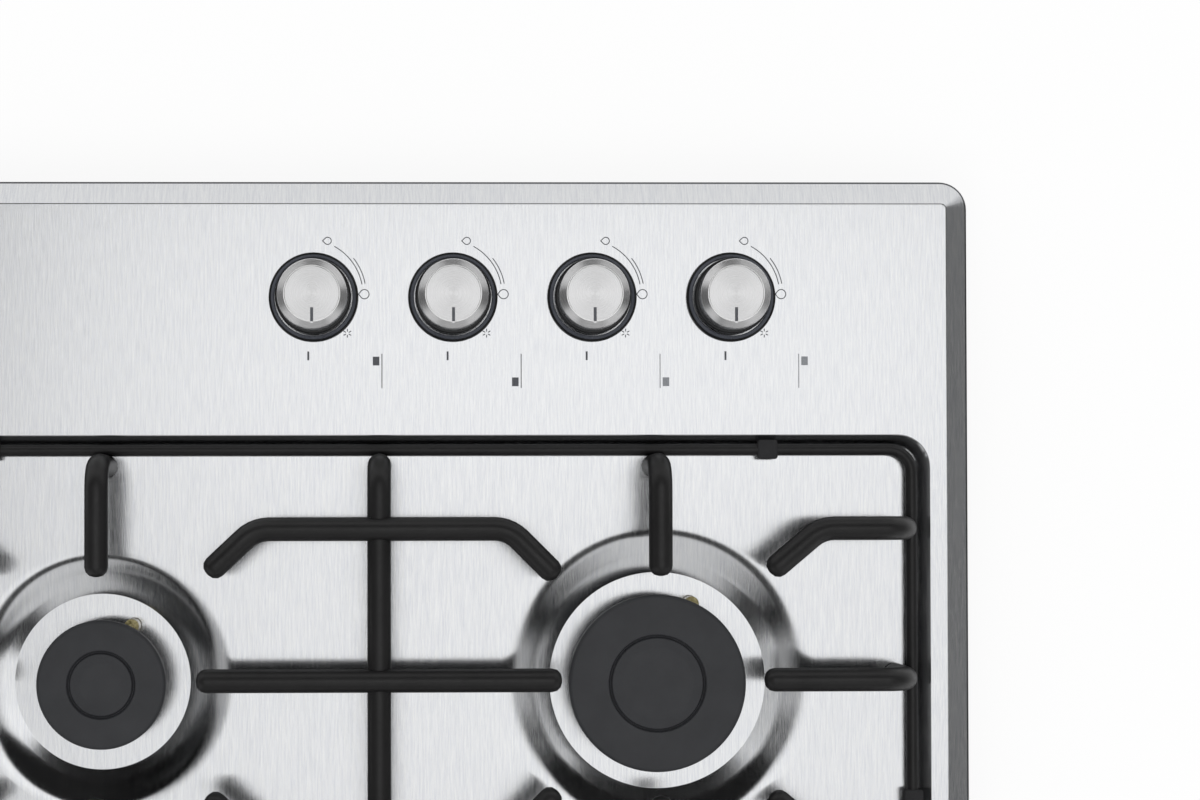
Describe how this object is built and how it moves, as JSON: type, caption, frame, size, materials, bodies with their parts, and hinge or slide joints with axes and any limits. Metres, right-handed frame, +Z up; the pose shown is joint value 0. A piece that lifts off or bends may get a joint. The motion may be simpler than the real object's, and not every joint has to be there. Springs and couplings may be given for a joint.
{
  "type": "gas cooktop",
  "caption": "Built-in gas cooktop with side controls: dished steel plate, burners with lift-off crowns and caps, wire pan supports, push-and-turn knobs.",
  "frame": {"origin": "under the middle of the plate, on the plane that the tray's bottom stands on", "axes": "+Z up, +X towards the cook's right where the knobs are, -Y towards the front edge"},
  "size_m": [0.58, 0.51, 0.0834],
  "materials": {
    "brushed_steel": "brushed left to right, satin",
    "galvanised": "zinc coated sheet steel, matt",
    "black_enamel": "black enamel, semi-matt",
    "grey_enamel": "dark grey enamel, matt",
    "cast_aluminium": "sand cast, matt",
    "aluminium_tube": "drawn, satin",
    "chromed_cup": "satin chromed cup on a black foot",
    "black_plastic": "moulded, satin",
    "black_rubber": "moulded, matt",
    "brass": "turned, satin",
    "ceramic": "glazed ceramic round a steel pin",
    "foam": "closed cell foam strip"
  },
  "bodies": {
    "root": {"top_plate": "brushed_steel", "bottom_tray": "galvanised", "worktop_seal": "foam", "gas_rail": "galvanised", "spark_module": "black_plastic", "cable_gland": "black_plastic", "worktop_clamp_rear_right": "galvanised", "worktop_clamp_rear_left": "galvanised", "worktop_clamp_front_right": "galvanised", "worktop_clamp_front_left": "galvanised", "burner_cup_rear_right": "cast_aluminium", "electrode_rear_right": "ceramic", "knob_bezel_rear_right": "black_plastic", "tap_body_rear_right": "brass", "feed_tube_rear_right": "aluminium_tube", "burner_cup_rear_left": "cast_aluminium", "electrode_rear_left": "ceramic", "knob_bezel_rear_left": "black_plastic", "tap_body_rear_left": "brass", "feed_tube_rear_left": "aluminium_tube", "burner_cup_front_left": "cast_aluminium", "electrode_front_left": "ceramic", "knob_bezel_front_left": "black_plastic", "tap_body_front_left": "brass", "feed_tube_front_left": "aluminium_tube", "burner_cup_front_right": "cast_aluminium", "electrode_front_right": "ceramic", "knob_bezel_front_right": "black_plastic", "tap_body_front_right": "brass", "feed_tube_front_right": "aluminium_tube"},
    "support_right": {"pan_support_right": "black_enamel", "foot_right_1": "black_rubber", "foot_right_2": "black_rubber", "foot_right_3": "black_rubber", "foot_right_4": "black_rubber"},
    "support_left": {"pan_support_left": "black_enamel", "foot_left_1": "black_rubber", "foot_left_2": "black_rubber", "foot_left_3": "black_rubber", "foot_left_4": "black_rubber"},
    "crown_rear_right": {"burner_crown_rear_right": "cast_aluminium"},
    "cap_rear_right": {"burner_cap_rear_right": "grey_enamel"},
    "plug_rear_right": {"tap_plug_rear_right": "brass"},
    "knob_unit_rear_right": {"knob_rear_right": "chromed_cup", "tap_spindle_rear_right": "brass"},
    "crown_rear_left": {"burner_crown_rear_left": "cast_aluminium"},
    "cap_rear_left": {"burner_cap_rear_left": "grey_enamel"},
    "plug_rear_left": {"tap_plug_rear_left": "brass"},
    "knob_unit_rear_left": {"knob_rear_left": "chromed_cup", "tap_spindle_rear_left": "brass"},
    "crown_front_left": {"burner_crown_front_left": "cast_aluminium"},
    "cap_front_left": {"burner_cap_front_left": "grey_enamel"},
    "plug_front_left": {"tap_plug_front_left": "brass"},
    "knob_unit_front_left": {"knob_front_left": "chromed_cup", "tap_spindle_front_left": "brass"},
    "crown_front_right": {"burner_crown_front_right": "cast_aluminium"},
    "cap_front_right": {"burner_cap_front_right": "grey_enamel"},
    "plug_front_right": {"tap_plug_front_right": "brass"},
    "knob_unit_front_right": {"knob_front_right": "chromed_cup", "tap_spindle_front_right": "brass"}
  },
  "joints": [
    {"name": "support_lift_right", "type": "slide", "parent": "root", "child": "support_right", "axis": [0, 0, 1], "range_m": [0, 0.06]},
    {"name": "support_lift_left", "type": "slide", "parent": "root", "child": "support_left", "axis": [0, 0, 1], "range_m": [0, 0.06]},
    {"name": "crown_lift_rear_right", "type": "slide", "parent": "root", "child": "crown_rear_right", "axis": [0, 0, 1], "range_m": [0, 0.03]},
    {"name": "cap_lift_rear_right", "type": "slide", "parent": "crown_rear_right", "child": "cap_rear_right", "axis": [0, 0, 1], "range_m": [0, 0.03]},
    {"name": "knob_turn_rear_right", "type": "hinge", "parent": "root", "child": "plug_rear_right", "pos_m": [0.2395, 0.0285, 0.05], "axis": [0, 0, 1], "range_deg": [0, 160]},
    {"name": "knob_push_rear_right", "type": "slide", "parent": "plug_rear_right", "child": "knob_unit_rear_right", "axis": [0, 0, -1], "range_m": [0, 0.004], "stiffness_N_per_m": 2000, "springref_m": -0.002},
    {"name": "crown_lift_rear_left", "type": "slide", "parent": "root", "child": "crown_rear_left", "axis": [0, 0, 1], "range_m": [0, 0.03]},
    {"name": "cap_lift_rear_left", "type": "slide", "parent": "crown_rear_left", "child": "cap_rear_left", "axis": [0, 0, 1], "range_m": [0, 0.03]},
    {"name": "knob_turn_rear_left", "type": "hinge", "parent": "root", "child": "plug_rear_left", "pos_m": [0.2395, -0.0315, 0.05], "axis": [0, 0, 1], "range_deg": [0, 160]},
    {"name": "knob_push_rear_left", "type": "slide", "parent": "plug_rear_left", "child": "knob_unit_rear_left", "axis": [0, 0, -1], "range_m": [0, 0.004], "stiffness_N_per_m": 2000, "springref_m": -0.002},
    {"name": "crown_lift_front_left", "type": "slide", "parent": "root", "child": "crown_front_left", "axis": [0, 0, 1], "range_m": [0, 0.008]},
    {"name": "cap_lift_front_left", "type": "slide", "parent": "crown_front_left", "child": "cap_front_left", "axis": [0, 0, 1], "range_m": [0, 0.008]},
    {"name": "knob_turn_front_left", "type": "hinge", "parent": "root", "child": "plug_front_left", "pos_m": [0.2395, -0.0915, 0.05], "axis": [0, 0, 1], "range_deg": [0, 160]},
    {"name": "knob_push_front_left", "type": "slide", "parent": "plug_front_left", "child": "knob_unit_front_left", "axis": [0, 0, -1], "range_m": [0, 0.004], "stiffness_N_per_m": 2000, "springref_m": -0.002},
    {"name": "crown_lift_front_right", "type": "slide", "parent": "root", "child": "crown_front_right", "axis": [0, 0, 1], "range_m": [0, 0.03]},
    {"name": "cap_lift_front_right", "type": "slide", "parent": "crown_front_right", "child": "cap_front_right", "axis": [0, 0, 1], "range_m": [0, 0.03]},
    {"name": "knob_turn_front_right", "type": "hinge", "parent": "root", "child": "plug_front_right", "pos_m": [0.2395, -0.1515, 0.05], "axis": [0, 0, 1], "range_deg": [0, 160]},
    {"name": "knob_push_front_right", "type": "slide", "parent": "plug_front_right", "child": "knob_unit_front_right", "axis": [0, 0, -1], "range_m": [0, 0.004], "stiffness_N_per_m": 2000, "springref_m": -0.002}
  ]
}
